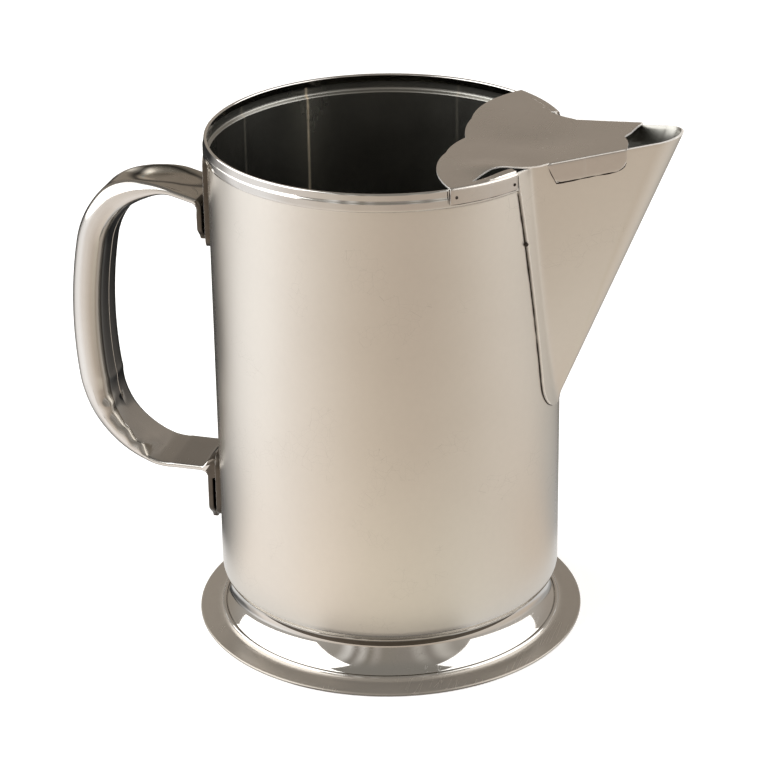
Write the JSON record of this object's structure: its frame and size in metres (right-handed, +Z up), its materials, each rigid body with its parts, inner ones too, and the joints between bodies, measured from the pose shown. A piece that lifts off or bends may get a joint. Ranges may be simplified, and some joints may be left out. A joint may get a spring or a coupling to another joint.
{
  "type": "water pitcher",
  "caption": "Straight-sided stainless steel water pitcher on a foot ring, with a folded V spout, a strainer plate that holds ice back, and a hollow C handle.",
  "frame": {"origin": "centre of the foot ring's underside, on the vessel's axis", "axes": "+Z up along the vessel's axis, +X towards the spout's nose, so the handle is on the -X side"},
  "size_m": [0.2241, 0.143, 0.1947],
  "materials": {
    "satin_steel": "satin",
    "polished_steel": "polished",
    "guard_steel": "satin"
  },
  "bodies": {
    "root": {"vessel_body": "satin_steel", "foot_ring": "polished_steel", "spout": "satin_steel", "ice_guard": "guard_steel", "handle": "polished_steel", "upper_handle_pad": "polished_steel", "lower_handle_pad": "polished_steel"}
  },
  "joints": []
}
